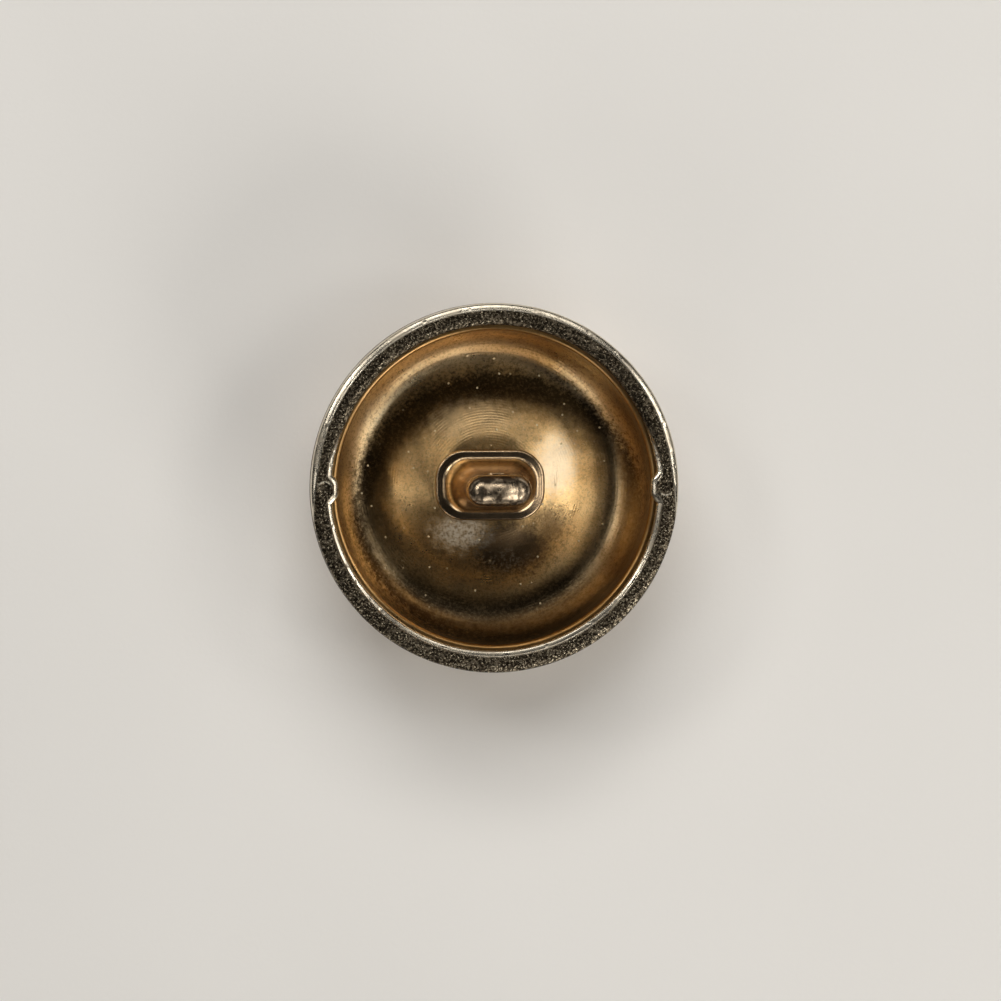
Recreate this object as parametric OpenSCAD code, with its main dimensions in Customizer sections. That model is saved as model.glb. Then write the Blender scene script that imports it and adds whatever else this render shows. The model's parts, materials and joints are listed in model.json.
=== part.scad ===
// Sew-on button with a solid shank. Millimetres.
// +Z points to the back of the button, where the shank stands.
// The origin is the lowest point of the domed front, on the button's axis.

/* [Button] */
// Overall diameter of the button
button_d = 20; // [19:0.5:21]
// Height of the rim's flat face above the lowest point of the front
body_h = 7; // [7:0.1:7.5]
// Radius of the domed front face
front_r = 20; // [19:0.5:22]
// Radius of the bend between the front face and the skirt
edge_r = 5.5; // [5:0.1:5.6]
// Sheet thickness of the front shell
shell_t = 0.35; // [0.3:0.01:0.4]

/* [Rim] */
// Width of the rolled rim, from the outside to its inner edge
rim_w = 1.17; // [1.1:0.01:1.25]
// Radius of the rim's outer edge
rim_outer_r = 0.38; // [0.3:0.01:0.42]
// Radius of the rim's inner edge
rim_inner_r = 0.25; // [0.2:0.01:0.28]
// How far each stake tab reaches in from the rim
tab_reach = 0.36; // [0.25:0.01:0.38]
// Width of a stake tab at its root
tab_w = 1.8; // [1.5:0.05:2]
// Diameter of the punch mark behind each stake tab
punch_d = 0.9; // [0.7:0.05:0.95]
// Depth of the punch mark
punch_depth = 0.12; // [0.08:0.01:0.15]
// Distance of a punch mark from the rim's inner edge
punch_in = 0.42; // [0.38:0.01:0.46]

/* [Back cup] */
// Sheet thickness of the cup
cup_t = 0.3; // [0.25:0.01:0.32]
// Gap between the rim's inner edge and the cup's wall, seen along the axis
cup_gap = 0.31; // [0.25:0.01:0.36]
// Radius of the bend at the top of the cup's wall
lip_r = 0.36; // [0.34:0.01:0.42]
// Radius at which the valley round the raised centre is deepest
valley_r = 6.7; // [6.5:0.05:6.8]
// Depth of the valley below the rim
valley_depth = 4.4; // [4.3:0.05:4.5]
// Height of the bend between the valley and the upright part of the wall
bend_h = 2.5; // [2.4:0.1:3]
// Height of the raised centre above the valley
dome_h = 1.15; // [1.05:0.05:1.25]
// Radius of the flat seat in the middle of the raised centre
seat_r = 2.2; // [2.1:0.05:2.4]

/* [Shank] */
// Length of the flange
flange_l = 6; // [5.8:0.05:6.2]
// Width of the flange
flange_w = 3.85; // [3.7:0.05:4]
// Corner radius of the flange
flange_corner_r = 1.6; // [1.4:0.05:1.7]
// Thickness of the flange
flange_t = 0.45; // [0.4:0.05:0.5]
// Width of the bead along the flange's edge
bead_w = 0.3; // [0.24:0.02:0.34]
// Height of the bead above the flange
bead_h = 0.05; // [0.03:0.01:0.1]
// Height of the flare between the flange and the straight part of the post
flare_h = 2.4; // [2.2:0.1:2.5]
// Length of the post and the head
head_l = 3.55; // [3.4:0.05:3.7]
// Thickness of the post and the head
head_w = 1.7; // [1.6:0.05:1.8]
// Height of the head above the rim
head_rise = 2.9; // [2.9:0.05:3.2]
// Radius of the arch along the head
head_arch_r = 2; // [1.8:0.1:3]
// Diameter of the thread eye through the post
eye_d = 1.6; // [1.4:0.05:1.6]
// Thickness of the head above the thread eye
eye_roof = 1.25; // [1.15:0.05:1.25]

/* [Hidden fastening] */
// Length of the tenon that goes through the cup
tenon_l = 2.9; // [2.7:0.05:3]
// Width of the tenon
tenon_w = 1.2; // [1.1:0.05:1.3]
// Length of the washer inside the button
washer_l = 4.6; // [4.2:0.1:5]
// Width of the washer
washer_w = 2.8; // [2.6:0.1:3.2]
// Thickness of the washer
washer_t = 0.4; // [0.3:0.02:0.5]
// Thickness of the peened end of the tenon
peen_t = 0.25; // [0.2:0.01:0.3]
// How far the peened end spreads beyond the tenon
peen_spread = 0.2; // [0.15:0.01:0.25]
// Radius of the packing disc
packing_r = 7.2; // [7:0.05:7.4]
// Gap left between pieces that touch
fit_gap = 0.02; // [0.01:0.005:0.03]

/* [Hidden] */
button_r = button_d / 2;
rim_in = button_r - rim_w;
edge_x = button_r - edge_r;
edge_z = front_r - sqrt(pow(front_r - edge_r, 2) - pow(edge_x, 2));
join_angle = asin(edge_x / (front_r - edge_r));
wall_r = rim_in - cup_gap;
lip_z = body_h - shell_t - fit_gap;
wall_top_z = lip_z - lip_r;
valley_z = body_h - valley_depth;
seat_z = valley_z + dome_h;
flange_top = seat_z + flange_t;
flare_top = flange_top + flare_h;
head_top = body_h + head_rise;
head_z = head_top - head_w / 2;
eye_z = head_top - eye_roof - eye_d / 2;
tenon_end = seat_z - cup_t - washer_t - 2 * fit_gap;
dome_start = 0.15;
dome_end = 0.35;
dome_mean = 1 - dome_start / 2 - dome_end / 2;
flare_stations = [0, 0.3, 0.55, 0.75, 0.9, 1];
flare_power = 2;
turn_fn = 84;
eps = 0.05;

// Points of an arc in the r-z plane, from angle a0 to angle a1.
function arc(cx, cz, r, a0, a1, n) =
    [for (i = [0:n]) let (a = a0 + (a1 - a0) * i / n) [cx + r * cos(a), cz + r * sin(a)]];

// The raised centre has an even slope between two bends. t runs from 0 at the seat to 1 at the valley.
function dome_slope(t) = min(1, t / dome_start, (1 - t) / dome_end) / dome_mean;
function dome_fall(t) =
    (t < dome_start ? t * t / (2 * dome_start)
     : t < 1 - dome_end ? t - dome_start / 2
     : dome_mean - pow(1 - t, 2) / (2 * dome_end)) / dome_mean;

// The cup's upper surface, from the axis outwards: the raised centre, then the bend up to the wall.
function cup_dome(n) =
    [for (i = [0:n]) [seat_r + (valley_r - seat_r) * i / n, valley_z + dome_h * (1 - dome_fall(i / n))]];
function cup_wall(n) =
    [for (i = [1:n]) let (a = 90 * i / n) [valley_r + (wall_r - valley_r) * sin(a),
                      valley_z + bend_h * (1 - cos(a))]];

// The same surface moved away by the sheet thickness, along its own normal.
function cup_dome_under(n) =
    [for (i = [0:n]) let (s = atan(-dome_h / (valley_r - seat_r) * dome_slope(i / n)))
        cup_dome(n)[i] + cup_t * [sin(s), -cos(s)]];
function cup_wall_under(n) =
    [for (i = [1:n]) let (a = 90 * i / n,
                          s = atan2(bend_h * sin(a), (wall_r - valley_r) * cos(a)))
        cup_wall(n)[i - 1] + cup_t * [sin(s), -cos(s)]];

// The packing follows the inside of the front shell and fills the room left below the cup's valley.
function room(p) =
    atan2(p[0], front_r - p[1]) < join_angle
        ? front_r - shell_t - norm(p - [0, front_r])
        : edge_r - shell_t - norm(p - [edge_x, edge_z]);
packing_gap = fit_gap + 0.03;
packing_room = min([for (p = cup_wall_under(24)) if (p[0] < packing_r + 0.3) room(p)]);
packing_t = packing_room - packing_gap - 2 * fit_gap;
packing_end = -acos((packing_r - edge_x) / (edge_r - shell_t - packing_gap));

// A flat rounded rectangle, centred.
module round_rect(l, w, r) {
    square([l, w - 2 * r], center = true);
    square([l - 2 * r, w], center = true);
    for (x = [-1, 1], y = [-1, 1]) {
        translate([x * (l / 2 - r), y * (w / 2 - r)]) circle(r = r, $fn = 32);
    }
}

// A flat slot shape with round ends, centred.
module slot(l, w) {
    square([l - w, w], center = true);
    for (x = [-1, 1]) {
        translate([x * (l - w) / 2, 0]) circle(d = w, $fn = 32);
    }
}

// Domed front, skirt and rolled rim, as one sheet.
module shell_sheet() {
    rotate_extrude($fn = turn_fn) {
        polygon(concat(
            arc(0, front_r, front_r, -90, join_angle - 90, 6),
            arc(edge_x, edge_z, edge_r, join_angle - 78, 0, 7),
            arc(button_r - rim_outer_r, body_h - rim_outer_r, rim_outer_r, 0, 90, 4),
            arc(rim_in + rim_inner_r, body_h - rim_inner_r, rim_inner_r, 90, 180, 3),
            [[rim_in, body_h - shell_t], [button_r - shell_t, body_h - shell_t]],
            arc(edge_x, edge_z, edge_r - shell_t, 0, join_angle - 78, 7),
            arc(0, front_r, front_r - shell_t, join_angle - 90, -90, 6)
        ));
    }
}

// Outline of one stake tab: a smooth bump on the rim's inner edge.
function tab_bump(s) =
    let (u = min(1, (tab_w / 2 - abs(s)) / (tab_w * 0.32))) u * u * (3 - 2 * u);
function tab_outline(n) =
    [for (i = [0:n]) let (s = tab_w * (i / n - 0.5), a = s / rim_in * 180 / PI)
        (rim_in - tab_reach * tab_bump(s)) * [cos(a), sin(a)]];

module stake_tab() {
    half = tab_w / 2 / rim_in * 180 / PI;
    back = rim_in + rim_w * 0.4;
    translate([0, 0, body_h - shell_t]) {
        linear_extrude(height = shell_t - eps) {
            polygon(concat(
                tab_outline(16),
                [back * [cos(half), sin(half)], back * [cos(half), -sin(half)]]
            ));
        }
    }
}

module punch_mark() {
    ball_r = (pow(punch_d / 2, 2) + pow(punch_depth, 2)) / (2 * punch_depth);
    translate([rim_in + punch_in, 0, body_h - punch_depth + ball_r]) sphere(r = ball_r, $fn = 48);
}

module front_shell() {
    color("#c9b992") {
        difference() {
            union() {
                shell_sheet();
                for (a = [0, 180]) {
                    rotate(a) stake_tab();
                }
            }
            for (a = [0, 180]) {
                rotate(a) punch_mark();
            }
        }
    }
}

module packing_disc() {
    outside = shell_t + packing_gap;
    inside = outside + packing_t;
    color("#8d7a5c") {
        rotate_extrude($fn = turn_fn) {
            polygon(concat(
                arc(0, front_r, front_r - outside, -90, join_angle - 90, 5),
                arc(edge_x, edge_z, edge_r - outside, join_angle - 86, packing_end, 2),
                arc(edge_x, edge_z, edge_r - inside, packing_end, join_angle - 86, 2),
                arc(0, front_r, front_r - inside, join_angle - 90, -90, 5)
            ));
        }
    }
}

module back_cup() {
    flange_r = button_r - shell_t - fit_gap;
    under_r = lip_r - cup_t;
    color("#cf9b58") {
        difference() {
            rotate_extrude($fn = turn_fn) {
                polygon(concat(
                    [[0, seat_z]],
                    cup_dome(12),
                    cup_wall(8),
                    arc(wall_r + lip_r, wall_top_z, lip_r, 180, 90, 4),
                    [[flange_r, lip_z], [flange_r, lip_z - cup_t]],
                    arc(wall_r + lip_r, wall_top_z, under_r, 90, 180, 2),
                    [for (i = [len(cup_wall_under(8)) - 1:-1:0]) cup_wall_under(8)[i]],
                    [for (i = [len(cup_dome_under(12)) - 1:-1:0]) cup_dome_under(12)[i]],
                    [[0, seat_z - cup_t]]
                ));
            }
            translate([0, 0, seat_z - 1]) {
                linear_extrude(height = 2) slot(tenon_l + 2 * fit_gap, tenon_w + 2 * fit_gap);
            }
        }
    }
}

module shank_washer() {
    color("#a8895a") {
        translate([0, 0, seat_z - cup_t - fit_gap - washer_t]) {
            linear_extrude(height = washer_t) {
                difference() {
                    round_rect(washer_l, washer_w, washer_w * 0.4);
                    slot(tenon_l + 2 * fit_gap, tenon_w + 2 * fit_gap);
                }
            }
        }
    }
}

// Height of the flare, 0 to 1: it leaves the flange gently and ends upright at the post.
// u is how far in a point lies, from 0 at the flange to 1 at the post.
function flare_rise(u) = 1 - pow(1 - pow(u, flare_power), 1 / flare_power);

// One thin slice of the flare.
module flare_slice(u) {
    k = 1 - u;
    base_l = flange_l - 2 * bead_w - 0.2;
    base_w = flange_w - 2 * bead_w - 0.2;
    w = head_w + (base_w - head_w) * k;
    l = head_l + (base_l - head_l) * k;
    r = head_w / 2 + (flange_corner_r - bead_w - head_w / 2) * k;
    translate([0, 0, flange_top - eps + (flare_h + eps) * flare_rise(u)]) {
        linear_extrude(height = 0.01) round_rect(l, w, min(r, w / 2 - 0.005));
    }
}

// The head is a round bar bent along an arch, with ball ends.
module head() {
    end_x = (head_l - head_w) / 2;
    arch_z = head_z - head_arch_r;
    end_z = arch_z + sqrt(pow(head_arch_r, 2) - pow(end_x, 2));
    intersection() {
        translate([0, 0, arch_z]) {
            rotate([90, 0, 0]) {
                rotate_extrude($fn = 72) translate([head_arch_r, 0]) circle(d = head_w, $fn = 32);
            }
        }
        translate([-end_x, -head_w, end_z]) cube([2 * end_x, 2 * head_w, head_w * 2]);
    }
    for (x = [-1, 1]) {
        translate([x * end_x, 0, end_z]) sphere(d = head_w, $fn = 32);
    }
}

module shank_flange() {
    translate([0, 0, seat_z]) {
        linear_extrude(height = flange_t) round_rect(flange_l, flange_w, flange_corner_r);
    }
    translate([0, 0, seat_z + flange_t / 2]) {
        linear_extrude(height = flange_t / 2 + bead_h) {
            difference() {
                round_rect(flange_l - 0.04, flange_w - 0.04, flange_corner_r - 0.02);
                round_rect(flange_l - 2 * bead_w, flange_w - 2 * bead_w, flange_corner_r - bead_w);
            }
        }
    }
}

module shank_post() {
    end_x = (head_l - head_w) / 2;
    end_z = head_z - head_arch_r + sqrt(pow(head_arch_r, 2) - pow(end_x, 2));
    translate([0, 0, flare_top - eps]) {
        linear_extrude(height = end_z - flare_top + eps) slot(head_l, head_w);
    }
    for (i = [0:len(flare_stations) - 2]) {
        hull() {
            flare_slice(flare_stations[i]);
            flare_slice(flare_stations[i + 1]);
        }
    }
}

module shank_tenon() {
    translate([0, 0, tenon_end - eps]) {
        linear_extrude(height = seat_z - tenon_end + 2 * eps) slot(tenon_l, tenon_w);
    }
    translate([0, 0, tenon_end - peen_t]) {
        linear_extrude(height = peen_t) slot(tenon_l + 2 * peen_spread, tenon_w + 2 * peen_spread);
    }
}

module shank() {
    color("#b98f68") {
        difference() {
            union() {
                shank_flange();
                shank_post();
                head();
                shank_tenon();
            }
            translate([0, 0, eye_z]) {
                rotate([90, 0, 0]) cylinder(d = eye_d, h = flange_w * 2, center = true, $fn = 48);
            }
        }
    }
}

front_shell();
packing_disc();
back_cup();
shank_washer();
shank();
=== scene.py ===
import json
import math

import bpy
import numpy as np
from mathutils import Matrix, Vector


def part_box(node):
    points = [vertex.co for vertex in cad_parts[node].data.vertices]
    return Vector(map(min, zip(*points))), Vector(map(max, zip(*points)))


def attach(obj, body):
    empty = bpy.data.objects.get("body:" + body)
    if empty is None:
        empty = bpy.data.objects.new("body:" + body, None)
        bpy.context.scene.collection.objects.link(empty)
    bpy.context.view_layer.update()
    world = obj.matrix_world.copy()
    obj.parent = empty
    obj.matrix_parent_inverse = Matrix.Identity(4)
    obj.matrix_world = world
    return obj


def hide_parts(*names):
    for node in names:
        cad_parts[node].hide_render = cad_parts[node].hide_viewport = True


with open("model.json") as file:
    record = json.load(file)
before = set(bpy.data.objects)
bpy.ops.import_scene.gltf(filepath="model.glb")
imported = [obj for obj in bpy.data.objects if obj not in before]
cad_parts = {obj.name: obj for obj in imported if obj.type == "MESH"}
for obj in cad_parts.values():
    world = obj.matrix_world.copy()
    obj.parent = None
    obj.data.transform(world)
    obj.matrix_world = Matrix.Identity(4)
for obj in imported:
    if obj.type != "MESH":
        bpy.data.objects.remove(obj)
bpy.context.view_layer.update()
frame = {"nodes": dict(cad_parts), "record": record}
MM = 0.001

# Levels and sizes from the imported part, in millimetres.
SHELL_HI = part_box("front_shell")[1] / MM
CUP_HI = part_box("back_cup")[1] / MM
SHANK_LO, SHANK_HI = (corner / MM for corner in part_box("shank"))
EYE = next(m for m in frame["record"]["mounts"] if m["name"] == "thread_eye")
BUTTON_R = SHELL_HI.x
RIM_Z = SHELL_HI.z
LIP_Z = CUP_HI.z
HEAD_TOP = SHANK_HI.z
FLANGE_L = SHANK_HI.x - SHANK_LO.x
FLANGE_W = SHANK_HI.y - SHANK_LO.y
EYE_Z = EYE["pos_m"][2] / MM
EYE_R = EYE["dims"]["r_mm"]

# Sizes of the part that its boxes don't give, in millimetres.
FRONT_R = 20.0
EDGE_R = 5.5
SHELL_T = 0.35
RIM_W = 1.17
RIM_IN = BUTTON_R - RIM_W
TAB_REACH = 0.36
TAB_W = 1.8
PUNCH_R = 0.45
PUNCH_AT = RIM_IN + 0.42
CUP_T = 0.3
WALL_R = RIM_IN - 0.31
VALLEY_R = 6.7
BEND_H = 2.5
VALLEY_Z = RIM_Z - 4.4
DOME_H = 1.15
DOME_START = 0.15
DOME_END = 0.35
SEAT_R = 2.2
SEAT_Z = VALLEY_Z + DOME_H
FLANGE_CORNER = 1.6
FLANGE_TOP = SEAT_Z + 0.45
FLARE_TOP = FLANGE_TOP + 2.4
FLARE_POWER = 2
HEAD_L = 3.55
HEAD_W = 1.7
ARCH_R = 2.0
TENON_L = 2.9
TENON_W = 1.2
PEEN_SPREAD = 0.2
PEEN_T = 0.25

# Sizes that differ from the part or that only these finer meshes have, in millimetres.
RIM_BEVEL = 0.37
PUNCH_DEPTH = 0.055
LIP_R = 0.24
CUP_HOLE_R = 1.75
FLANGE_EASE = 0.05
FLANGE_SIDE_TOP = FLANGE_TOP - 0.13
EDGE_STEP = 0.02
VOXEL = 0.032

# Fineness of the meshes. The front's section stops a tenth of a degree short of the axis.
FRONT_START = -89.9
SHELL_TURNS = 960
CUP_TURNS = 900
CUP_STEPS = 44
FLARE_STEPS = 40
POST_STEPS = 8
HEAD_STEPS = 12
EYE_SIDES = 64

# The camera, in degrees and millimetres: its lean from straight above and the side that it leans to
# (0 is -X, 90 is +Y), its distance, and the width and the middle of its view at the rim's level.
CAMERA_LEAN = 7.0
CAMERA_TURN = 32.0
CAMERA_AWAY = 300.0
VIEW_W = 54.05
VIEW_MIDDLE = (0.265, -0.648)
SENSOR = 36.0

WARM = (1.0, 0.96, 0.9)
FLOOR_WHITE = (1.0, 0.98, 0.95)
# Name, azimuth and degrees off the axis, then width, height (metres) and power (watts).
LIGHTS = (
    ("key_right", 352, 41, 0.07, 0.09, 0.08),
    ("high_right", 18, 48, 0.09, 0.06, 0.075),
    ("inner_right", 340, 28, 0.08, 0.08, 0.016),
    ("top_right", 60, 50, 0.08, 0.05, 0.035),
    ("top", 100, 51, 0.20, 0.05, 0.11),
    ("high_left", 146, 49, 0.06, 0.05, 0.085),
    ("key_left", 188, 42, 0.06, 0.06, 0.026),
    ("low_right", 312, 67, 0.16, 0.13, 0.36),
    ("low_left", 244, 68, 0.12, 0.12, 0.10),
)


# ---- tools for shapes ----

def smooth(t):
    """0 below 0, 1 above 1, an S curve between."""
    t = np.clip(t, 0.0, 1.0)
    return t * t * (3 - 2 * t)


def arc(cx, cz, r, a0, a1, n, first=True):
    """Points of an arc from angle a0 to a1 in degrees, in n steps, with or without its first point."""
    start = 0 if first else 1
    angles = [math.radians(a0 + (a1 - a0) * i / n) for i in range(start, n + 1)]
    return [(cx + r * math.cos(a), cz + r * math.sin(a)) for a in angles]


def line(a, b, n):
    """Points from a to b in n steps, without a."""
    return [(a[0] + (b[0] - a[0]) * i / n, a[1] + (b[1] - a[1]) * i / n) for i in range(1, n + 1)]


def grid_faces(rows, cols, close_rows):
    """Quads over rows of cols points each. Each row is a ring; the rows can close on themselves too."""
    faces = []
    for i in range(rows if close_rows else rows - 1):
        a = i * cols
        b = (i + 1) % rows * cols
        for k in range(cols):
            k1 = (k + 1) % cols
            faces.append((a + k, a + k1, b + k1, b + k))
    return faces


def add_mesh(name, verts_mm, faces):
    """A smooth-shaded object from points in millimetres."""
    mesh = bpy.data.meshes.new(name)
    mesh.from_pydata([tuple(v) for v in np.asarray(verts_mm) * MM], [], faces)
    mesh.update()
    mesh.polygons.foreach_set("use_smooth", [True] * len(mesh.polygons))
    obj = bpy.data.objects.new(name, mesh)
    bpy.context.scene.collection.objects.link(obj)
    return obj


def revolve(profile, turns):
    """Points of a profile turned round Z, as an array of rows by turns by 3."""
    profile = np.asarray(profile)
    angles = np.arange(turns) * 2 * math.pi / turns
    r = profile[:, 0][:, None]
    z = np.repeat(profile[:, 1][:, None], turns, 1)
    return np.stack([r * np.cos(angles), r * np.sin(angles), z], axis=-1)


def radius_of(v):
    """Distance of each point from the axis."""
    return np.hypot(v[..., 0], v[..., 1])


def angle_of(v):
    """Angle of each point round the axis, in radians from +X."""
    return np.arctan2(v[..., 1], v[..., 0])


def apply_modifiers(obj):
    """The object's mesh becomes the result of its modifiers."""
    seen = obj.evaluated_get(bpy.context.evaluated_depsgraph_get())
    mesh = bpy.data.meshes.new_from_object(seen)
    obj.modifiers.clear()
    obj.data = mesh


# ---- front shell ----

def eased_edge(width):
    """(distance out, drop) along a worn edge: a soft bend, a sloping land, then a tight bend down."""
    points = [(0.0, 0.0)]
    for flat_slope, steep_slope, count, step in ((0, 17, 5, 0.012), (18, 29, 11, 0.022), (34, 88, 10, 0.022)):
        for slope in np.radians(np.linspace(flat_slope, steep_slope, count)):
            u, w = points[-1]
            points.append((u + step * math.cos(slope), w + step * math.sin(slope)))
    scale = width / points[-1][0]
    return [(u * scale, w * scale) for u, w in points]


def shell_profile():
    """The shell's section: out over the front, up the skirt, over the rim and back along the inside."""
    bend_r = BUTTON_R - EDGE_R
    bend_z = FRONT_R - math.sqrt((FRONT_R - EDGE_R) ** 2 - bend_r ** 2)
    join = math.degrees(math.asin(bend_r / (FRONT_R - EDGE_R))) - 90
    inside_r = BUTTON_R - SHELL_T
    under_z = RIM_Z - SHELL_T
    bevel = eased_edge(RIM_BEVEL)
    outer = [(BUTTON_R - RIM_BEVEL + u, RIM_Z - w) for u, w in bevel]
    inner = [(RIM_IN + RIM_BEVEL - u, RIM_Z - w * 0.9) for u, w in bevel]
    points = arc(0, FRONT_R, FRONT_R, FRONT_START, join, 34)
    points += arc(bend_r, bend_z, EDGE_R, join, 0, 22, False)
    points += line((BUTTON_R, bend_z), outer[-1], 8)
    points += outer[-2::-1]
    points += line(outer[0], inner[0], 12)
    points += inner[1:]
    points += line(inner[-1], (RIM_IN, under_z), 3)
    points += line((RIM_IN, under_z), (inside_r, under_z), 8)
    points += line((inside_r, under_z), (inside_r, bend_z), 4)
    points += arc(bend_r, bend_z, EDGE_R - SHELL_T, 0, join, 10, False)
    points += arc(0, FRONT_R, FRONT_R - SHELL_T, join, FRONT_START, 12, False)
    return points


def push_tabs(v):
    """The two stake tabs: the rim's inner edge bulges inwards at the left and the right."""
    r = radius_of(v)
    near_rim = smooth((RIM_IN + 0.95 - r) / 0.55) * (v[..., 2] > RIM_Z - SHELL_T - 0.01)
    for side, width in ((1, TAB_W * 0.96), (-1, TAB_W * 0.9)):
        along = np.arctan2(v[..., 1], v[..., 0] * side) * RIM_IN
        bump = smooth(1 - (2 * along / width) ** 2) ** 0.8 * (v[..., 0] * side > 0)
        shift = TAB_REACH * bump * near_rim
        v[..., 0] *= 1 - shift / r
        v[..., 1] *= 1 - shift / r
        v[..., 2] -= 0.02 * bump * smooth((RIM_IN + 0.2 - r) / 0.3) * near_rim


def press_punches(v):
    """The round punch mark behind each tab, with metal thrown up along part of its edge."""
    top = v[..., 2] > RIM_Z - 0.25
    for side, burr_at, burr_h in ((1, -75, 0.045), (-1, 80, 0.05)):
        dx = v[..., 0] - side * PUNCH_AT
        dy = v[..., 1]
        d = np.hypot(dx, dy)
        v[..., 2] -= np.where(top, PUNCH_DEPTH * smooth((PUNCH_R * 1.1 - d) / (PUNCH_R * 0.7)), 0)
        turn = np.cos(np.arctan2(dy, dx * side) - math.radians(burr_at))
        ring = np.exp(-((d - PUNCH_R * 0.95) / 0.06) ** 2)
        v[..., 2] += np.where(top, burr_h * smooth(turn * 1.6 - 0.6) * ring, 0)


def wave_rim(v, top, rng):
    """A slightly wavy rim, in width and in height."""
    r = radius_of(v)
    turn = angle_of(v)
    wave = np.zeros_like(r)
    for k, size in ((2, 0.018), (3, 0.014), (5, 0.009), (9, 0.005), (17, 0.003)):
        wave += size * np.sin(k * turn + rng.uniform(0, 6.28))
    inner = smooth((RIM_IN + 0.6 - r) / 0.6) * top
    outer = smooth((r - BUTTON_R + 0.6) / 0.6) * top
    scale = 1 + (inner * wave - outer * wave * 0.6) / np.maximum(r, 1)
    v[..., 0] *= scale
    v[..., 1] *= scale
    v[..., 2] += top * wave * 0.25


def dent_rim(v, top, rng):
    """Small dents in the rim, each with a faint raised ring."""
    for _ in range(150):
        a = rng.uniform(0, 2 * math.pi)
        at = rng.uniform(RIM_IN + 0.08, BUTTON_R - 0.1)
        size = rng.uniform(0.04, 0.13)
        depth = rng.uniform(0.006, 0.02)
        dx = v[..., 0] - at * math.cos(a)
        dy = v[..., 1] - at * math.sin(a)
        d2 = (dx * dx + dy * dy) / size ** 2
        v[..., 2] -= top * depth * (np.exp(-d2) - 0.35 * np.exp(-(np.sqrt(d2) - 1.5) ** 2 * 4))


def scratch_rim(v, top, rng):
    """Short scratches, more or less along the rim."""
    for _ in range(26):
        a = rng.uniform(0, 2 * math.pi)
        at = rng.uniform(RIM_IN + 0.1, BUTTON_R - 0.2)
        lean = rng.uniform(-0.7, 0.7)
        half = rng.uniform(0.15, 0.5)
        along = Vector((-math.sin(a + lean), math.cos(a + lean)))
        dx = v[..., 0] - at * math.cos(a)
        dy = v[..., 1] - at * math.sin(a)
        s = dx * along.x + dy * along.y
        t = dx * along.y - dy * along.x
        v[..., 2] -= top * 0.009 * np.exp(-(t / 0.035) ** 2) * smooth((half - np.abs(s)) / 0.1)


def make_shell():
    """The front shell: its section turned round the axis, then worn, with the tabs and the punches."""
    profile = shell_profile()
    v = revolve(profile, SHELL_TURNS)
    rng = np.random.default_rng(11)
    top = smooth((v[..., 2] - RIM_Z + 1.2) / 0.8) * (radius_of(v) > RIM_IN - 0.5)
    wave_rim(v, top, rng)
    dent_rim(v, top, rng)
    scratch_rim(v, top, rng)
    push_tabs(v)
    press_punches(v)
    return add_mesh("shell_metal", v.reshape(-1, 3), grid_faces(len(profile), SHELL_TURNS, True))


# ---- back cup ----

def dome_fall(t):
    """How far the raised centre has fallen, 0 to 1: an even slope between two bends."""
    mean = 1 - DOME_START / 2 - DOME_END / 2
    if t < DOME_START:
        return t * t / (2 * DOME_START) / mean
    if t < 1 - DOME_END:
        return (t - DOME_START / 2) / mean
    return 1 - (1 - t) ** 2 / (2 * DOME_END) / mean


def cup_surface():
    """The cup's upper surface: the flat seat, the raised centre, the bend, the wall and the lip."""
    steps = [i / CUP_STEPS for i in range(1, CUP_STEPS + 1)]
    lip_z = LIP_Z - LIP_R
    points = [(CUP_HOLE_R, SEAT_Z)]
    points += line((CUP_HOLE_R, SEAT_Z), (SEAT_R, SEAT_Z), 3)
    for t in steps:
        points.append((SEAT_R + (VALLEY_R - SEAT_R) * t, VALLEY_Z + DOME_H * (1 - dome_fall(t))))
    for t in steps:
        a = math.pi / 2 * t
        points.append((VALLEY_R + (WALL_R - VALLEY_R) * math.sin(a), VALLEY_Z + BEND_H * (1 - math.cos(a))))
    points += line(points[-1], (WALL_R, lip_z), 8)
    points += arc(WALL_R + LIP_R, lip_z, LIP_R, 180, 90, 12, False)
    points += line((WALL_R + LIP_R, LIP_Z), (CUP_HI.x, LIP_Z), 4)
    return np.array(points)


def offset_curve(points, distance):
    """The curve moved sideways by a distance, to the right of its direction."""
    step = np.gradient(points, axis=0)
    step /= np.linalg.norm(step, axis=1)[:, None]
    return points + distance * np.stack([step[:, 1], -step[:, 0]], axis=1)


def wear_cup(v, rng):
    """Forming marks of the cup: turned rings, a slightly uneven wall and small bumps."""
    r = radius_of(v)
    turn = angle_of(v)
    free = smooth((r - 2.4) / 1.0) * smooth((WALL_R + 0.15 - r) / 0.3)
    wave = np.zeros_like(r)
    for k, kr, size in ((2, 0.9, 0.014), (3, 1.4, 0.012), (5, 2.2, 0.007), (8, 3.1, 0.004), (13, 5.0, 0.002)):
        wave += size * np.sin(k * turn + kr * r + rng.uniform(0, 6.28))
    rings = 0.0012 * np.sin(r * 31 + 0.6 * np.sin(2 * turn)) + 0.0009 * np.sin(r * 53 + 1.7)
    v[..., 2] += free * (wave + rings)
    for _ in range(60):
        a = rng.uniform(0, 2 * math.pi)
        at = rng.uniform(2.6, 8.2)
        size = rng.uniform(0.06, 0.16)
        height = rng.uniform(0.003, 0.012)
        d2 = ((v[..., 0] - at * math.cos(a)) ** 2 + (v[..., 1] - at * math.sin(a)) ** 2) / size ** 2
        v[..., 2] += free * height * np.exp(-d2)


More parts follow.
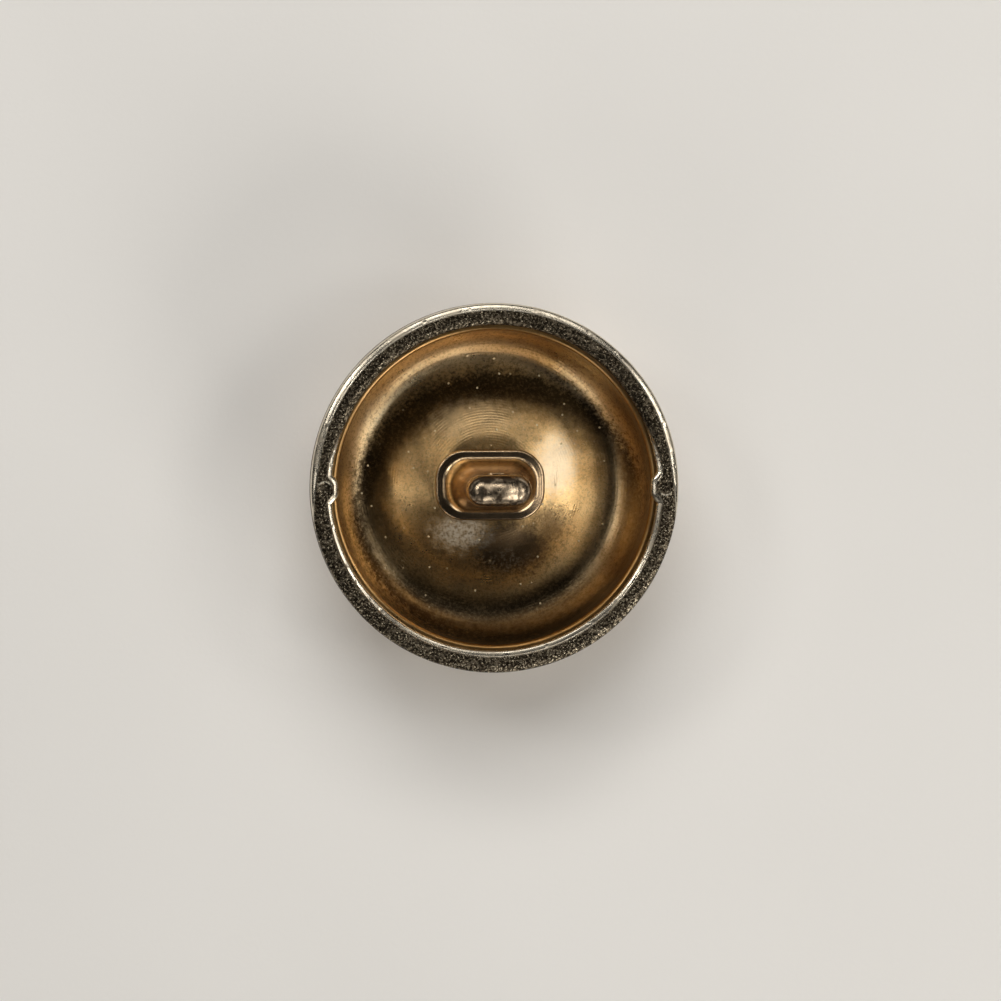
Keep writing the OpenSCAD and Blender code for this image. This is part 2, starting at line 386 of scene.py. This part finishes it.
def make_cup():
    """The back cup: its upper surface and an offset copy, turned round the axis and worn."""
    upper = cup_surface()
    lower = offset_curve(upper, CUP_T)[::-3]
    lower = np.vstack([lower, [(CUP_HOLE_R, SEAT_Z - CUP_T)]])
    lower[:, 0] = np.minimum(lower[:, 0], CUP_HI.x)
    profile = np.vstack([upper, lower])
    v = revolve(profile, CUP_TURNS)
    wear_cup(v[:len(upper)], np.random.default_rng(5))
    return add_mesh("cup_metal", v.reshape(-1, 3), grid_faces(len(profile), CUP_TURNS, True))


# ---- shank ----

def rounded_outline(length, width, corner):
    """A rounded rectangle, with the same number of points whatever its size."""
    corner = min(corner, width / 2 - 1e-3, length / 2 - 1e-3)
    hx = length / 2 - corner
    hy = width / 2 - corner
    centres = ((hx, hy), (-hx, hy), (-hx, -hy), (hx, -hy))
    bends = [arc(cx, cy, corner, 90 * i, 90 * i + 90, 24) for i, (cx, cy) in enumerate(centres)]
    points = []
    for i, bend in enumerate(bends):
        points += bend
        points += line(bend[-1], bends[(i + 1) % 4][0], 10)[:-1]
    return points


def shrink(size, inset):
    """A (length, width, corner radius) drawn in by inset on all sides."""
    length, width, corner = size
    return (length - 2 * inset, width - 2 * inset, corner - inset)


def tenon_levels():
    """The peened end and the tenon, up to the cup's seat. Their ends are fully round."""
    tenon = (TENON_L, TENON_W, TENON_L)
    peen = (TENON_L + 2 * PEEN_SPREAD, TENON_W + 2 * PEEN_SPREAD, TENON_L)
    levels = []
    for inset, rise in ((0.12, 0), (0.03, 0.04), (0, 0.12), (0, PEEN_T - 0.03)):
        levels.append((*shrink(peen, inset), SHANK_LO.z + rise))
    levels.append((*tenon, SHANK_LO.z + PEEN_T))
    levels.append((*tenon, SEAT_Z))
    return levels


def flange_edge():
    """(inset, height) pairs over the flange's edge: up its side, over its soft bead and inwards."""
    inset, z = 0.0, FLANGE_SIDE_TOP
    edge = [(FLANGE_EASE, SEAT_Z), (0.0, SEAT_Z + FLANGE_EASE), (inset, z)]
    for slope in (80, 65, 50, 40, 34, 30, 27, 24, 20, 14, 8, 4, 4, 8, 14, 18, 20):
        inset += EDGE_STEP * math.cos(math.radians(slope))
        z += EDGE_STEP * math.sin(math.radians(slope))
        edge.append((inset, z))
    return edge


def flare_rise(u):
    """Height of the flare, 0 to 1: it leaves the flange gently and ends upright at the post."""
    return 1 - (1 - u ** FLARE_POWER) ** (1 / FLARE_POWER)


def shank_levels():
    """(length, width, corner radius, height) of each level, from the peened end to the straight post."""
    flange = (FLANGE_L, FLANGE_W, FLANGE_CORNER)
    post = (HEAD_L, HEAD_W, HEAD_W / 2)
    edge = flange_edge()
    levels = tenon_levels()
    levels += [(*shrink(flange, inset), z) for inset, z in edge]
    foot_inset, foot_z = edge[-1]
    foot = shrink(flange, foot_inset)
    for i in range(1, FLARE_STEPS + 1):
        u = math.sin(math.pi / 2 * i / FLARE_STEPS)
        size = [b + (a - b) * (1 - u) for a, b in zip(foot, post)]
        levels.append((*size, foot_z + (FLARE_TOP - foot_z) * flare_rise(u)))
    return levels


def head_rows(outline, end_z):
    """Rows that close the post with a round bar bent along an arch."""
    half = (HEAD_L - HEAD_W) / 2
    radius = HEAD_W / 2
    outline = np.asarray(outline)
    spine = np.clip(outline[:, 0], -half, half)
    arch = np.sqrt(ARCH_R ** 2 - spine ** 2) - math.sqrt(ARCH_R ** 2 - half ** 2)
    out = np.stack([outline[:, 0] - spine, outline[:, 1]], axis=1) / radius
    rows = []
    for i in range(1, HEAD_STEPS + 1):
        a = math.pi / 2 * i / HEAD_STEPS
        scale = radius * max(math.cos(a), 0.004)
        z = end_z + arch * (i / HEAD_STEPS) ** 0.5 + radius * math.sin(a)
        rows.append(np.stack([spine + out[:, 0] * scale, out[:, 1] * scale, z], axis=1))
    return rows


def eye_cutter():
    """A round bar along Y where the thread eye goes."""
    ring = []
    for y in (-3.0, 3.0):
        for i in range(EYE_SIDES):
            a = 2 * math.pi * i / EYE_SIDES
            ring.append((EYE_R * math.cos(a), y, EYE_Z + EYE_R * math.sin(a)))
    ends = [tuple(range(EYE_SIDES)), tuple(range(2 * EYE_SIDES - 1, EYE_SIDES - 1, -1))]
    sides = []
    for k in range(EYE_SIDES):
        k1 = (k + 1) % EYE_SIDES
        sides.append((k, EYE_SIDES + k, EYE_SIDES + k1, k1))
    return add_mesh("eye_cutter", ring, ends + sides)


def cut_eye(obj):
    """The thread eye through the post, with its edges eased."""
    cutter = eye_cutter()
    cut = obj.modifiers.new("eye", "BOOLEAN")
    cut.operation, cut.solver, cut.object = "DIFFERENCE", "EXACT", cutter
    even = obj.modifiers.new("even", "REMESH")
    even.mode, even.voxel_size, even.use_smooth_shade = "VOXEL", VOXEL * MM, True
    ease = obj.modifiers.new("ease", "SMOOTH")
    ease.factor, ease.iterations = 0.5, 7
    apply_modifiers(obj)
    bpy.data.objects.remove(cutter)


def make_shank():
    """The shank: a stack of rounded outlines closed by the head, with the thread eye cut through."""
    rows = []
    for length, width, corner, z in shank_levels():
        rows.append([(x, y, z) for x, y in rounded_outline(length, width, corner)])
    half = (HEAD_L - HEAD_W) / 2
    end_z = HEAD_TOP - HEAD_W / 2 - ARCH_R + math.sqrt(ARCH_R ** 2 - half ** 2)
    outline = rounded_outline(HEAD_L, HEAD_W, HEAD_W / 2)
    for i in range(1, POST_STEPS + 1):
        z = FLARE_TOP + (end_z - FLARE_TOP) * i / POST_STEPS
        rows.append([(x, y, z) for x, y in outline])
    rows += head_rows(outline, end_z)
    cols = len(outline)
    v = np.array([np.asarray(row) for row in rows])
    faces = grid_faces(len(rows), cols, False)
    faces.append(tuple(range(cols - 1, -1, -1)))
    faces.append(tuple((len(rows) - 1) * cols + k for k in range(cols)))
    obj = add_mesh("shank_metal", v.reshape(-1, 3), faces)
    cut_eye(obj)
    return obj


# ---- tools for materials ----

class Graph:
    """A short way to build a material's nodes."""

    def __init__(self, name):
        self.mat = bpy.data.materials.new(name)
        self.mat.use_nodes = True
        self.tree = self.mat.node_tree
        self.bsdf = self.tree.nodes["Principled BSDF"]
        coords = self.node("ShaderNodeTexCoord")
        self.mm = self.vmath("SCALE", coords.outputs["Object"], scale=1 / MM)

    def node(self, kind, **settings):
        n = self.tree.nodes.new(kind)
        for key, value in settings.items():
            setattr(n, key, value)
        return n

    def put(self, socket, value):
        if isinstance(value, bpy.types.NodeSocket):
            self.tree.links.new(value, socket)
        else:
            socket.default_value = value

    def math(self, op, a, b=0.0):
        n = self.node("ShaderNodeMath", operation=op)
        self.put(n.inputs[0], a)
        self.put(n.inputs[1], b)
        return n.outputs[0]

    def plus(self, a, b):
        return self.math("ADD", a, b)

    def minus(self, a, b):
        return self.math("SUBTRACT", a, b)

    def times(self, a, *others):
        for b in others:
            a = self.math("MULTIPLY", a, b)
        return a

    def larger(self, a, b):
        return self.math("MAXIMUM", a, b)

    def away(self, a, b):
        """How far a is from b."""
        return self.math("ABSOLUTE", self.minus(a, b))

    def vmath(self, op, a, b=None, scale=None):
        n = self.node("ShaderNodeVectorMath", operation=op)
        self.put(n.inputs[0], a)
        if b is not None:
            self.put(n.inputs[1], b)
        if scale is not None:
            self.put(n.inputs["Scale"], scale)
        return n.outputs["Value"] if op == "LENGTH" else n.outputs["Vector"]

    def reach(self, x, y, stretch=(1, 1)):
        """Distance from a point of the plane, with x and y stretched."""
        offset = self.vmath("SUBTRACT", self.mm, (x, y, 0))
        return self.vmath("LENGTH", self.vmath("MULTIPLY", offset, (*stretch, 0)))

    def noise(self, scale, detail=3.0, rough=0.55, shift=(0, 0, 0), at=None):
        n = self.node("ShaderNodeTexNoise")
        self.put(n.inputs["Vector"], self.vmath("ADD", at or self.mm, shift))
        n.inputs["Scale"].default_value = scale
        n.inputs["Detail"].default_value = detail
        n.inputs["Roughness"].default_value = rough
        return n.outputs["Fac"]

    def ramp(self, value, low, high, a=0.0, b=1.0):
        """a at low and b at high, held beyond them, smooth between."""
        n = self.node("ShaderNodeMapRange", interpolation_type="SMOOTHSTEP")
        self.put(n.inputs["Value"], value)
        self.put(n.inputs["From Min"], low)
        self.put(n.inputs["From Max"], high)
        self.put(n.inputs["To Min"], a)
        self.put(n.inputs["To Max"], b)
        return n.outputs[0]

    def mix(self, fac, a, b):
        """Colour a where fac is 0 and b where it is 1."""
        n = self.node("ShaderNodeMix", data_type="RGBA")
        self.put(n.inputs["Factor"], fac)
        self.put(n.inputs["A"], a if isinstance(a, bpy.types.NodeSocket) else (*a, 1))
        self.put(n.inputs["B"], b if isinstance(b, bpy.types.NodeSocket) else (*b, 1))
        return n.outputs["Result"]

    def parts(self):
        """x, y, z and the distance from the axis, in millimetres."""
        n = self.node("ShaderNodeSeparateXYZ")
        self.put(n.inputs[0], self.mm)
        x, y, z = n.outputs
        flat = self.math("SQRT", self.plus(self.times(x, x), self.times(y, y)))
        return x, y, z, flat

    def bump(self, height, depth_mm):
        n = self.node("ShaderNodeBump")
        n.inputs["Strength"].default_value = 1.0
        n.inputs["Distance"].default_value = depth_mm * MM
        self.put(n.inputs["Height"], height)
        return n.outputs[0]

    def finish(self, color, rough, metallic, normal):
        self.put(self.bsdf.inputs["Base Color"], color)
        self.put(self.bsdf.inputs["Roughness"], rough)
        self.put(self.bsdf.inputs["Metallic"], metallic)
        self.put(self.bsdf.inputs["Normal"], normal)
        return self.mat


# ---- material of the front shell ----

def rim_band(g, y, z, flat):
    """1 on the rim's dark land, 0 elsewhere. The land lies off-centre and gives way to the tabs: it reaches
    over the inner edge at the top and the outer edge at the bottom, painted shade where those edges would
    catch light.
    """
    tab = g.ramp(g.math("ABSOLUTE", y), TAB_W * 0.45, TAB_W * 0.1, 0, TAB_REACH)
    in_edge = g.minus(g.ramp(y, 1.0, 4.5, RIM_IN + 0.3, RIM_IN - 0.1), tab)
    out_edge = g.ramp(y, 1.5, -3.5, BUTTON_R - 0.36, BUTTON_R + 0.1)
    past_inner = g.ramp(g.minus(flat, in_edge), -0.05, 0.06)
    before_outer = g.ramp(g.minus(flat, out_edge), 0.06, -0.05)
    return g.times(past_inner, before_outer, g.ramp(z, RIM_Z - 0.75, RIM_Z - 0.45))


def punch_burr(g, y, fine, side, low, high):
    """1 on the thrown-up edge of a punch mark, on the part of its ring from y low to y high and on."""
    ring = g.ramp(g.away(g.reach(side * PUNCH_AT, 0), 0.41), 0.06, 0.02)
    return g.times(ring, g.ramp(y, low, high), g.ramp(fine, 0.35, 0.55))


def rim_land_color(g, y, fine, grain):
    """Near black with pitted metal in it, the black a painted dark reflection of the flat land; lighter and
    darker patches, pale specks and two burrs.
    """
    black, pitted = (0.022, 0.017, 0.011), (0.26, 0.215, 0.15)
    thin, thick = (0.30, 0.25, 0.18), (0.02, 0.015, 0.01)
    speck, burr = (0.88, 0.77, 0.57), (0.92, 0.84, 0.68)
    patch = g.noise(2.4, 4, 0.65, (4, 8, 1))
    color = g.mix(g.ramp(fine, 0.48, 0.64), black, pitted)
    color = g.mix(g.ramp(patch, 0.54, 0.66, 0, 0.5), color, thin)
    color = g.mix(g.ramp(patch, 0.46, 0.34, 0, 0.7), color, thick)
    # Pale specks grow denser towards the bottom: painted light on the lower half of the land.
    color = g.mix(g.ramp(g.plus(grain, g.ramp(y, 0, -5, 0, 0.02)), 0.60, 0.68), color, speck)
    for side, low, high in ((-1, 0.12, 0.3), (1, -0.25, -0.4)):
        color = g.mix(punch_burr(g, y, fine, side, low, high), color, burr)
    return color


def skirt_color(g, z, fine):
    """Dark brown under the rim, a painted dark reflection, turning to dull gilt further down the skirt."""
    brown = g.mix(g.ramp(fine, 0.35, 0.65), (0.06, 0.042, 0.028), (0.17, 0.12, 0.075))
    gilt = g.mix(g.ramp(fine, 0.3, 0.7), (0.46, 0.33, 0.20), (0.58, 0.44, 0.28))
    return g.mix(g.ramp(z, RIM_Z - 1.3, RIM_Z - 2.8), brown, gilt)


def shell_material():
    """Worn pale plating: bright where it is worn, speckled and pitted on the rim's land. The land's near
    black and the brown under the rim are painted dark reflection.
    """
    g = Graph("worn_plating")
    _, y, z, flat = g.parts()
    cloud = g.noise(0.9, 4, 0.6)
    fine = g.noise(7, 3, 0.7, (3, 1, 7))
    grain = g.noise(10, 3, 0.6, (11, 5, 2))
    band = rim_band(g, y, z, flat)
    below = g.ramp(z, RIM_Z - 0.3, RIM_Z - 0.6)
    color = g.mix(g.ramp(cloud, 0.35, 0.7), (0.78, 0.72, 0.60), (0.70, 0.62, 0.49))
    # The land's near black is a painted dark reflection; its off-centre reach is painted shade.
    color = g.mix(band, color, rim_land_color(g, y, fine, grain))
    # The brown just under the rim is a painted dark reflection.
    color = g.mix(g.times(below, 0.9), color, skirt_color(g, z, fine))
    rough = g.plus(g.ramp(cloud, 0.3, 0.7, 0.22, 0.3), g.times(band, g.ramp(fine, 0.3, 0.7, 0.16, 0.0)))
    rough = g.plus(rough, g.times(below, 0.35))
    height = g.plus(g.times(g.plus(band, 0.06), fine), g.times(band, g.times(grain, 0.6)))
    g.put(g.bsdf.inputs["Specular IOR Level"], g.ramp(below, 0, 1, 0.5, 0.08))
    return g.finish(color, rough, g.minus(1.0, g.times(below, 0.9)), g.bump(height, 0.045))


# ---- material of the back cup ----

class CupGraph(Graph):
    """The cup's nodes, with the noises and places that its layers share."""

    def __init__(self):
        super().__init__("gilt_cup")
        _, self.y, self.z, self.flat = self.parts()
        self.cloud = self.noise(0.45, 4, 0.62, (2, 9, 4))
        self.mottle = self.noise(2.6, 5, 0.68, (7, 3, 1))
        self.speckle = self.noise(6, 3, 0.75, (2, 2, 6))
        self.grain = self.noise(14, 2, 0.6, (1, 6, 3))
        coarse = self.times(self.minus(self.mottle, 0.5), 2.4)
        self.ragged = self.plus(coarse, self.times(self.minus(self.speckle, 0.5), 1.6))

    def spot(self, x, y, stretch, inner, outer, rag):
        """1 within inner of a stretched centre, 0 beyond outer, with a ragged edge."""
        d = self.plus(self.reach(x, y, stretch), self.times(self.ragged, rag))
        return self.ramp(d, outer, inner)


def cup_gold(g):
    """The gilt itself: warm in the middle, paler up the wall, with painted highlights on the wall at the top
    left and right.
    """
    warm, deep = (0.88, 0.60, 0.28), (0.78, 0.50, 0.21)
    wall, wall_highlight_tint = (0.84, 0.63, 0.36), (1.0, 0.82, 0.52)
    worn, bright = (0.40, 0.25, 0.10), (0.98, 0.78, 0.48)
    # Painted highlights on the upper wall, at the top left and the top right.
    painted_wall_highlight = g.larger(g.spot(-5.4, 5.0, (1, 1), 1.2, 3.4, 0.6), g.spot(4.6, 6.0, (1, 1), 0.8, 2.8, 0.6))
    color = g.mix(g.ramp(g.cloud, 0.32, 0.68), warm, deep)
    color = g.mix(g.ramp(g.flat, 6.3, 7.2), color, wall)
    color = g.mix(g.times(painted_wall_highlight, g.ramp(g.flat, 6.6, 7.1)), color, wall_highlight_tint)
    color = g.mix(g.ramp(g.speckle, 0.52, 0.40, 0, 0.5), color, worn)
    return g.mix(g.ramp(g.grain, 0.58, 0.68, 0, 0.5), color, bright)


def cup_stain_and_shade(g):
    """The dark ring over the valley, a little below the middle, partly tarnished metal and partly painted
    dark reflection; and the darker foot of the wall at the bottom, painted shade.
    """
    outside = g.spot(0.5, -1.25, (0.92, 0.98), 6.9, 7.8, 0.5)
    inside = g.spot(0.9, -1.7, (0.86, 1), 5.1, 6.7, 0.5)
    foot = g.times(g.ramp(g.y, -3.2, -5.6), g.ramp(g.flat, 5.6, 6.6), g.ramp(g.flat, 8.3, 7.3))
    # Tarnish with painted shade and dark reflection: the ring, and the wall's foot at the bottom.
    stain_and_shade = g.larger(g.times(g.minus(outside, inside), 0.94), g.times(foot, 0.9))
    return g.times(stain_and_shade, g.ramp(g.speckle, 0.68, 0.46, 0.85, 1.0))


def stain_and_shade_color(g):
    """Brown, and nearly black in the valley's corner: painted shade in the corner."""
    corner = g.ramp(g.away(g.flat, VALLEY_R + 0.35), 0.7, 0.2)
    return g.mix(corner, (0.050, 0.031, 0.013), (0.018, 0.011, 0.005))


def cup_shade(g):
    """Painted shadow below the flange."""
    side = g.times(g.spot(3.3, -2.3, (1, 1), 0.5, 1.6, 0.8), 0.6)
    return g.larger(g.spot(1.2, -3.5, (0.8, 1.15), 1.0, 2.4, 0.7), side)


def cup_bloom(g):
    """The dull whitish bloom below the flange, and a fainter one further down."""
    bloom = g.times(g.spot(-1.6, -2.6, (0.7, 1), 0.35, 1.5, 0.8), g.ramp(g.speckle, 0.40, 0.56, 0.35, 1.0))
    faint = g.times(g.spot(0.9, -4.2, (0.45, 1.1), 0.3, 1.2, 0.8), g.ramp(g.speckle, 0.5, 0.62, 0, 0.25))
    return g.larger(g.times(bloom, 0.85), faint)


def cup_specks(g):
    """Fine dust on the raised centre and the valley, none on the wall."""
    dots = g.node("ShaderNodeTexVoronoi", voronoi_dimensions="2D")
    g.put(dots.inputs["Vector"], g.vmath("ADD", g.mm, (4, 2, 0)))
    dots.inputs["Scale"].default_value = 0.85
    pick = g.node("ShaderNodeSeparateColor")
    g.put(pick.inputs[0], dots.outputs["Color"])
    speck = g.times(g.ramp(dots.outputs["Distance"], 0.06, 0.035), g.ramp(pick.outputs[0], 0.3, 0.7))
    return g.times(speck, g.ramp(g.flat, 7.6, 7.2))


def cup_rings(g):
    """Turned rings, here and there."""
    wobble = g.plus(g.flat, g.times(g.mottle, 0.04))
    return g.times(g.math("SINE", g.times(wobble, 44.0)), g.ramp(g.noise(0.8, 2, 0.5, (9, 1, 5)), 0.4, 0.65))


def cup_material():
    """Gilt brass: turned rings, a tarnished valley with painted shade, worn patches and painted highlights,
    painted shade on the lip and below the flange, and fine dust specks.
    """
    lip, shadow_brown = (0.46, 0.25, 0.08), (0.10, 0.07, 0.045)
    brass, glare = (0.95, 0.72, 0.42), (1.0, 0.90, 0.72)
    white, dust = (0.80, 0.74, 0.62), (1.0, 0.86, 0.58)
    g = CupGraph()
    stain_and_shade = cup_stain_and_shade(g)
    # A whitish painted highlight on the raised centre at the right; with it a paler patch at the top, partly
    # rubbed wear and partly painted highlight.
    painted_dome_highlight = g.spot(3.7, 1.1, (1, 0.7), 0.4, 1.6, 0.5)
    rubbed_and_highlight = g.larger(g.spot(-0.9, 3.5, (0.5, 1), 0.5, 1.5, 0.6), painted_dome_highlight)
    bloom = cup_bloom(g)
    speck = cup_specks(g)
    # The valley's ring and the wall's foot: tarnish with painted shade and dark reflection.
    color = g.mix(stain_and_shade, cup_gold(g), stain_and_shade_color(g))
    # The lip's top, where it runs under the rim, is painted dark brown: painted shade.
    color = g.mix(g.ramp(g.z, LIP_Z - 0.45, LIP_Z - 0.2, 0, 0.85), color, lip)
    # Painted shadow below the flange.
    color = g.mix(g.times(cup_shade(g), 0.85), color, shadow_brown)
    color = g.mix(g.times(rubbed_and_highlight, 0.35), color, brass)
    # The whitish painted highlight.
    color = g.mix(g.times(painted_dome_highlight, 0.5), color, glare)
    color = g.mix(bloom, color, white)
    color = g.mix(speck, color, dust)
    rough = g.plus(g.ramp(g.cloud, 0.3, 0.7, 0.24, 0.32), g.times(g.speckle, 0.06))
    for layer, amount in ((rubbed_and_highlight, 0.08), (g.larger(speck, bloom), 0.22), (stain_and_shade, 0.04)):
        rough = g.plus(rough, g.times(layer, amount))
    matt = g.times(g.larger(bloom, g.times(speck, 0.7)), 0.85)
    height = g.plus(g.times(cup_rings(g), 0.3), g.plus(g.grain, g.times(speck, 3.0)))
    return g.finish(color, rough, g.minus(1.0, matt), g.bump(height, 0.007))


# ---- material of the shank ----

def file_marks(g, x, y, flat):
    """Noise drawn out along lines that spread from the axis like a fan."""
    fan = g.node("ShaderNodeCombineXYZ")
    g.put(fan.inputs[0], g.times(g.math("ARCTAN2", y, x), 9.0))
    g.put(fan.inputs[1], g.times(flat, 0.5))
    return g.noise(1.6, 3, 0.7, (3, 3, 3), at=fan.outputs[0])


def flange_shade_and_bead(g, z, color):
    """The flange's side painted dark, a painted shade along the crevice at the cup, and the duller bead along
    its edge.
    """
    side = g.ramp(z, FLANGE_TOP - 0.1, FLANGE_TOP - 0.14)
    above = g.ramp(z, FLANGE_TOP - 0.2, FLANGE_TOP - 0.1)
    below = g.ramp(z, FLANGE_TOP + 0.1, FLANGE_TOP + 0.05)
    # The flange's side: painted shade.
    color = g.mix(g.times(side, 0.8), color, (0.12, 0.08, 0.05))
    return g.mix(g.times(above, below, 0.7), color, (0.36, 0.27, 0.18))


def shank_material():
    """Pinkish gilt with fan-like file marks, worn through to mottled silver on the head, with painted shade
    on the post below the head and on the head's sides.
    """
    pink, brown, filed = (0.90, 0.67, 0.40), (0.80, 0.56, 0.32), (0.45, 0.30, 0.18)
    tarnish_and_side_shade, silver, shade_below_head = (0.085, 0.062, 0.042), (0.64, 0.51, 0.36), (0.20, 0.12, 0.06)
    g = Graph("gilt_shank")
    x, y, z, flat = g.parts()
    cloud = g.noise(0.9, 4, 0.6, (8, 2, 6))
    mottle = g.noise(4.5, 5, 0.75, (1, 4, 9))
    grain = g.noise(15, 2, 0.6, (6, 6, 2))
    blotch = g.noise(2.0, 5, 0.6, (4, 7, 2))
    streak = file_marks(g, x, y, flat)
    gilt = g.mix(g.ramp(cloud, 0.35, 0.65), pink, brown)
    gilt = g.mix(g.ramp(streak, 0.5, 0.36, 0, 0.6), gilt, filed)
    # The bare head is lighter on its top and darker towards its sides: partly tarnish, partly painted shade.
    level = g.ramp(z, HEAD_TOP - 0.5, HEAD_TOP - 0.05, -0.06, 0.08)
    bare = g.mix(g.ramp(g.plus(blotch, level), 0.38, 0.60), tarnish_and_side_shade, silver)
    ragged = g.plus(z, g.times(g.minus(mottle, 0.5), 0.4))
    head = g.ramp(ragged, HEAD_TOP - 0.8, HEAD_TOP - 0.66)
    # The post just below the head is darkened: painted shade.
    dark = g.times(g.ramp(z, HEAD_TOP - 0.8, HEAD_TOP - 0.95), g.ramp(z, HEAD_TOP - 3.4, HEAD_TOP - 1.9))
    color = g.mix(g.times(dark, 0.7), gilt, shade_below_head)
    color = flange_shade_and_bead(g, z, g.mix(head, color, bare))
    rough = g.times(head, g.ramp(blotch, 0.4, 0.6, 0.12, 0.0))
    rough = g.plus(g.ramp(cloud, 0.3, 0.7, 0.20, 0.27), rough)
    height = g.plus(g.times(mottle, g.plus(g.times(head, 0.2), 0.2)), g.times(grain, 0.2))
    height = g.plus(height, g.times(streak, 0.4))
    return g.finish(color, rough, 1.0, g.bump(height, 0.02))


# ---- other materials ----

def washer_material():
    """Plain sheet brass, dull and unpolished."""
    g = Graph("plain_brass")
    cloud = g.noise(1.1, 4, 0.6)
    grain = g.noise(12, 3, 0.6, (3, 3, 3))
    color = g.mix(g.ramp(cloud, 0.35, 0.65), (0.66, 0.52, 0.28), (0.48, 0.36, 0.18))
    color = g.mix(g.ramp(grain, 0.58, 0.72, 0, 0.6), color, (0.25, 0.17, 0.09))
    return g.finish(color, g.ramp(cloud, 0.3, 0.7, 0.4, 0.55), 1.0, g.bump(grain, 0.012))


def board_material():
    """Pressed grey-brown board with short fibres."""
    g = Graph("packing_board")
    fibre = g.noise(6, 4, 0.7, at=g.vmath("MULTIPLY", g.mm, (1, 3, 1)))
    cloud = g.noise(0.7, 3, 0.5, (5, 2, 2))
    color = g.mix(g.ramp(fibre, 0.35, 0.65), (0.34, 0.27, 0.19), (0.55, 0.46, 0.34))
    color = g.mix(g.ramp(cloud, 0.45, 0.65, 0, 0.4), color, (0.28, 0.23, 0.17))
    return g.finish(color, g.ramp(fibre, 0.3, 0.7, 0.78, 0.92), 0.0, g.bump(fibre, 0.05))


def floor_material():
    """Plain pale grey with a little grain."""
    g = Graph("floor")
    soft = g.noise(0.02, 3, 0.5)
    grain = g.noise(3, 3, 0.6)
    color = g.mix(g.ramp(soft, 0.3, 0.7), (0.80, 0.79, 0.77), (0.84, 0.83, 0.81))
    return g.finish(color, g.ramp(grain, 0.3, 0.7, 0.6, 0.7), 0.0, g.bump(grain, 0.01))


# ---- stage ----

def make_floor():
    """A wide flat floor under the button."""
    half = 400.0
    corners = [(-half, -half, 0), (half, -half, 0), (half, half, 0), (-half, half, 0)]
    floor = add_mesh("floor", corners, [(0, 1, 2, 3)])
    floor.data.materials.append(floor_material())
    light_floor(floor)


def add_light(name, azimuth, off_axis, width, height, power, color, distance=0.3):
    """A soft rectangular light. Azimuth is anticlockwise from +X, off_axis is measured from +Z."""
    a, o = math.radians(azimuth), math.radians(off_axis)
    place = Vector((math.sin(o) * math.cos(a), math.sin(o) * math.sin(a), math.cos(o))) * distance
    lamp = bpy.data.lights.new(name, "AREA")
    lamp.shape, lamp.size, lamp.size_y = "RECTANGLE", width, height
    lamp.energy, lamp.color = power, color
    obj = bpy.data.objects.new(name, lamp)
    bpy.context.scene.collection.objects.link(obj)
    obj.location = Vector((0, 0, RIM_Z * MM)) + place
    obj.rotation_mode = "QUATERNION"
    obj.rotation_quaternion = (-place).to_track_quat("-Z", "Y")
    return obj


def light_floor(floor):
    """A broad light that only the floor receives, so that the floor stays pale beside the dark bowl."""
    lamp = add_light("floor_light", 100, 40, 0.35, 0.35, 1.3, FLOOR_WHITE, 0.5)
    only = bpy.data.collections.new("floor_only")
    only.objects.link(floor)
    lamp.light_linking.receiver_collection = only


def make_lights():
    """A dim grey world and nine soft lights: bright at the right, weaker at the top and the left."""
    world = bpy.data.worlds.new("studio")
    world.use_nodes = True
    bpy.context.scene.world = world
    world.node_tree.nodes["Background"].inputs[0].default_value = (0.012, 0.011, 0.010, 1)
    for name, azimuth, off_axis, width, height, power in LIGHTS:
        add_light(name, azimuth, off_axis, width, height, power, WARM)


def make_camera():
    """A long lens that leans a few degrees towards the upper left."""
    lean, turn = math.radians(CAMERA_LEAN), math.radians(CAMERA_TURN)
    back = Vector((-math.sin(lean) * math.cos(turn), math.sin(lean) * math.sin(turn), math.cos(lean)))
    up = Vector((0, 1, 0))
    up = (up - back * up.dot(back)).normalized()
    right = up.cross(back)
    cam = bpy.data.cameras.new("camera")
    cam.sensor_width = SENSOR
    cam.lens = SENSOR * CAMERA_AWAY / VIEW_W
    cam.clip_start, cam.clip_end = 0.01, 10.0
    obj = bpy.data.objects.new("camera", cam)
    bpy.context.scene.collection.objects.link(obj)
    aim = Vector((0, 0, RIM_Z)) + right * VIEW_MIDDLE[0] + up * VIEW_MIDDLE[1]
    pose = Matrix((right, up, back)).transposed().to_4x4()
    pose.translation = (aim + back * CAMERA_AWAY) * MM
    obj.matrix_world = pose
    bpy.context.scene.camera = obj


# ---- put together ----

def dress(obj, node, material):
    """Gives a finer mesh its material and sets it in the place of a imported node."""
    obj.data.materials.clear()
    obj.data.materials.append(material)
    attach(obj, "root")
    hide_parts(node)


dress(make_shell(), "front_shell", shell_material())
dress(make_cup(), "back_cup", cup_material())
dress(make_shank(), "shank", shank_material())
for name, material in (("packing_disc", board_material()), ("shank_washer", washer_material())):
    frame["nodes"][name].data.materials.clear()
    frame["nodes"][name].data.materials.append(material)
make_floor()
make_lights()
make_camera()
bpy.context.scene.view_settings.view_transform = "Standard"
